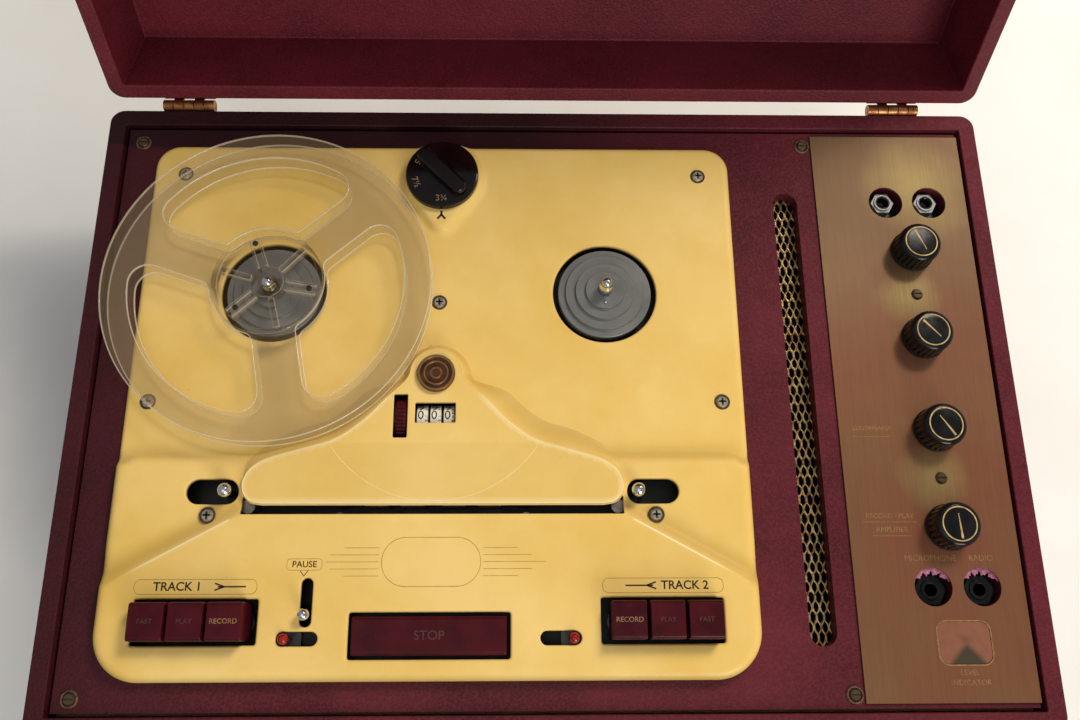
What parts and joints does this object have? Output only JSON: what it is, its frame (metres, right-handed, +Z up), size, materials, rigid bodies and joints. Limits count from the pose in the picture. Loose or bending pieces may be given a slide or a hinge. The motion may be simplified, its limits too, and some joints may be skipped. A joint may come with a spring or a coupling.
{
  "type": "portable tape recorder",
  "caption": "Portable reel-to-reel tape recorder: covered wooden case with open hinged lid, cream deck, clear reel, piano keys and a brass control panel with knobs and jack sockets.",
  "frame": {"origin": "centre of the case on the plane of its flat underside", "axes": "+X to the right of a person facing the keys, +Y from the keys towards the lid hinges, +Z up"},
  "size_m": [0.512, 0.5538, 0.4885],
  "materials": {
    "leathercloth": "maroon leathercloth over plywood, fine grain",
    "bare_wood": "plain planed softwood",
    "covered_board": "maroon leathercloth over plywood",
    "mesh_brass": "expanded metal, gold lacquered",
    "hinge_copper": "copper plated, worn",
    "handle_plastic": "moulded grip",
    "cream_plastic": "moulded, slightly aged",
    "medallion_bronze": "dark bronzed",
    "speed_plastic": "dark brown moulding",
    "counter_plastic": "white figure wheels",
    "maroon_plastic": "moulded, glossy",
    "turntable_grey": "grey metal",
    "clear_plastic": "clear moulding, slightly aged",
    "chrome_plate": "polished",
    "red_plastic": "red tips",
    "spring_steel": "plain",
    "screw_steel": "aged",
    "chassis_steel": "zinc plated",
    "chassis_black": "black enamel",
    "motor_grey": "grey enamel",
    "flywheel_alloy": "turned",
    "belt_rubber": "matt",
    "head_metal": "screened heads",
    "panel_brass": "aged, lacquer worn",
    "black_moulding": "black moulding",
    "valve_glass": "clear bulbs",
    "tube_glass": "dark green screen",
    "core_steel": "varnished laminations",
    "speaker_black": "black frame"
  },
  "bodies": {
    "case": {"case_base": "leathercloth", "board_battens": "bare_wood", "mounting_board": "covered_board", "vent_mesh": "mesh_brass", "hinge_case_leaves": "hinge_copper", "hinge_pins": "hinge_copper", "front_fittings": "hinge_copper", "deck_cover": "cream_plastic", "head_cover": "cream_plastic", "medallion_nut": "medallion_bronze", "key_springs": "spring_steel", "fixing_screws": "screw_steel", "chassis_plate": "chassis_black", "motors": "motor_grey", "drive_belts": "belt_rubber", "tape_heads": "head_metal", "brass_panel": "panel_brass", "potentiometers": "chassis_steel", "upper_jacks": "chrome_plate", "lower_jacks": "black_moulding", "level_tube": "tube_glass", "amplifier_chassis": "chassis_steel", "valves": "valve_glass", "transformers": "core_steel", "loudspeaker": "speaker_black", "mains_inlet": "black_moulding"},
    "lid": {"lid_shell": "leathercloth", "hinge_lid_leaves": "hinge_copper", "catch_keeper": "hinge_copper"},
    "catch": {"catch_lever": "hinge_copper"},
    "handle": {"carrying_handle": "handle_plastic"},
    "speed_control": {"speed_knob": "speed_plastic"},
    "counter": {"counter_wheels": "counter_plastic", "reset_wheel": "maroon_plastic"},
    "left_spool": {"left_turntable": "turntable_grey", "reel_lower_flange": "clear_plastic", "reel_upper_flange": "clear_plastic"},
    "right_spool": {"right_turntable": "turntable_grey"},
    "left_arm": {"left_tape_arm": "chrome_plate"},
    "right_arm": {"right_tape_arm": "chrome_plate"},
    "pause": {"pause_lever": "chrome_plate"},
    "left_record_lock": {"left_record_slider": "red_plastic"},
    "right_record_lock": {"right_record_slider": "red_plastic"},
    "fast_key_left": {"left_fast_key": "maroon_plastic"},
    "play_key_left": {"left_play_key": "maroon_plastic"},
    "record_key_left": {"left_record_key": "maroon_plastic"},
    "stop_bar": {"stop_key": "maroon_plastic"},
    "record_key_right": {"right_record_key": "maroon_plastic"},
    "play_key_right": {"right_play_key": "maroon_plastic"},
    "fast_key_right": {"right_fast_key": "maroon_plastic"},
    "left_rotor": {"left_motor_rotor": "chassis_steel"},
    "right_rotor": {"right_motor_rotor": "chassis_steel"},
    "left_capstan": {"left_flywheel": "flywheel_alloy"},
    "right_capstan": {"right_flywheel": "flywheel_alloy"},
    "left_pinch": {"left_pinch_arm": "belt_rubber"},
    "right_pinch": {"right_pinch_arm": "belt_rubber"},
    "gain_control": {"gain_knob": "black_moulding"},
    "tone_control": {"tone_knob": "black_moulding"},
    "loudspeaker_control": {"loudspeaker_knob": "black_moulding"},
    "function_control": {"function_knob": "black_moulding"}
  },
  "joints": [
    {"name": "lid_hinge", "type": "hinge", "parent": "case", "child": "lid", "pos_m": [0, 0.1768, 0.159], "axis": [1, 0, 0], "range_deg": [0, 112]},
    {"name": "catch_swing", "type": "hinge", "parent": "case", "child": "catch", "pos_m": [0, -0.178, 0.138], "axis": [-1, 0, 0], "range_deg": [0, 175]},
    {"name": "handle_swing", "type": "hinge", "parent": "case", "child": "handle", "pos_m": [0, -0.1825, 0.1], "axis": [-1, 0, 0], "range_deg": [0, 90]},
    {"name": "speed_turn", "type": "hinge", "parent": "case", "child": "speed_control", "pos_m": [-0.06, 0.1282, 0.16], "axis": [0, 0, 1], "range_deg": [0, 144]},
    {"name": "counter_turn", "type": "hinge", "parent": "case", "child": "counter", "pos_m": [-0.06, -0.0144, 0.1573], "axis": [1, 0, 0], "continuous": true},
    {"name": "left_spool_spin", "type": "hinge", "parent": "case", "child": "left_spool", "pos_m": [-0.15201, 0.0582, 0.16], "axis": [0, 0, 1], "continuous": true},
    {"name": "right_spool_spin", "type": "hinge", "parent": "case", "child": "right_spool", "pos_m": [0.03201, 0.0582, 0.16], "axis": [0, 0, 1], "continuous": true},
    {"name": "left_arm_swing", "type": "hinge", "parent": "case", "child": "left_arm", "pos_m": [-0.16602, -0.0038, 0.16], "axis": [0, 0, -1], "range_deg": [0, 18]},
    {"name": "right_arm_swing", "type": "hinge", "parent": "case", "child": "right_arm", "pos_m": [0.04602, -0.0038, 0.16], "axis": [0, 0, 1], "range_deg": [0, 18]},
    {"name": "pause_slide", "type": "slide", "parent": "case", "child": "pause", "axis": [0, 1, 0], "range_m": [0, 0.015]},
    {"name": "left_record_slide", "type": "slide", "parent": "case", "child": "left_record_lock", "axis": [1, 0, 0], "range_m": [0, 0.0125]},
    {"name": "right_record_slide", "type": "slide", "parent": "case", "child": "right_record_lock", "axis": [-1, 0, 0], "range_m": [0, 0.0125]},
    {"name": "fast_key_left_press", "type": "slide", "parent": "case", "child": "fast_key_left", "axis": [0, 0, -1], "range_m": [0, 0.004], "stiffness_N_per_m": 400, "springref_m": -0.0015},
    {"name": "play_key_left_press", "type": "slide", "parent": "case", "child": "play_key_left", "axis": [0, 0, -1], "range_m": [0, 0.004], "stiffness_N_per_m": 400, "springref_m": -0.0015},
    {"name": "record_key_left_press", "type": "slide", "parent": "case", "child": "record_key_left", "axis": [0, 0, -1], "range_m": [0, 0.004], "stiffness_N_per_m": 400, "springref_m": -0.0015},
    {"name": "stop_bar_press", "type": "slide", "parent": "case", "child": "stop_bar", "axis": [0, 0, -1], "range_m": [0, 0.004], "stiffness_N_per_m": 400, "springref_m": -0.0015},
    {"name": "record_key_right_press", "type": "slide", "parent": "case", "child": "record_key_right", "axis": [0, 0, -1], "range_m": [0, 0.004], "stiffness_N_per_m": 400, "springref_m": -0.0015},
    {"name": "play_key_right_press", "type": "slide", "parent": "case", "child": "play_key_right", "axis": [0, 0, -1], "range_m": [0, 0.004], "stiffness_N_per_m": 400, "springref_m": -0.0015},
    {"name": "fast_key_right_press", "type": "slide", "parent": "case", "child": "fast_key_right", "axis": [0, 0, -1], "range_m": [0, 0.004], "stiffness_N_per_m": 400, "springref_m": -0.0015},
    {"name": "left_capstan_spin", "type": "hinge", "parent": "case", "child": "left_capstan", "pos_m": [-0.10801, -0.0675, 0.16], "axis": [0, 0, 1], "continuous": true},
    {"name": "right_capstan_spin", "type": "hinge", "parent": "case", "child": "right_capstan", "pos_m": [-0.01199, -0.0675, 0.16], "axis": [0, 0, 1], "continuous": true},
    {"name": "left_rotor_spin", "type": "hinge", "parent": "case", "child": "left_rotor", "pos_m": [-0.178, -0.0198, 0.16], "axis": [0, 0, 1], "continuous": true},
    {"name": "right_rotor_spin", "type": "hinge", "parent": "case", "child": "right_rotor", "pos_m": [0.058, -0.0198, 0.16], "axis": [0, 0, 1], "continuous": true},
    {"name": "left_pinch_swing", "type": "hinge", "parent": "case", "child": "left_pinch", "pos_m": [-0.13801, -0.0458, 0.16], "axis": [0, 0, -1], "range_deg": [0, 5.5]},
    {"name": "right_pinch_swing", "type": "hinge", "parent": "case", "child": "right_pinch", "pos_m": [0.01801, -0.0458, 0.16], "axis": [0, 0, 1], "range_deg": [0, 5.5]},
    {"name": "gain_control_turn", "type": "hinge", "parent": "case", "child": "gain_control", "pos_m": [0.2092, 0.0848, 0.1582], "axis": [0, 0, 1], "range_deg": [-150, 150]},
    {"name": "tone_control_turn", "type": "hinge", "parent": "case", "child": "tone_control", "pos_m": [0.2092, 0.0324, 0.1582], "axis": [0, 0, 1], "range_deg": [-150, 150]},
    {"name": "loudspeaker_control_turn", "type": "hinge", "parent": "case", "child": "loudspeaker_control", "pos_m": [0.2092, -0.02, 0.1582], "axis": [0, 0, 1], "range_deg": [-150, 150]},
    {"name": "function_control_turn", "type": "hinge", "parent": "case", "child": "function_control", "pos_m": [0.2092, -0.0724, 0.1582], "axis": [0, 0, 1], "range_deg": [-60, 60]}
  ],
  "couplings": [
    {"joint": "left_rotor_spin", "follows": "left_capstan_spin", "ratio": 7.3359},
    {"joint": "right_rotor_spin", "follows": "right_capstan_spin", "ratio": 7.3359}
  ]
}
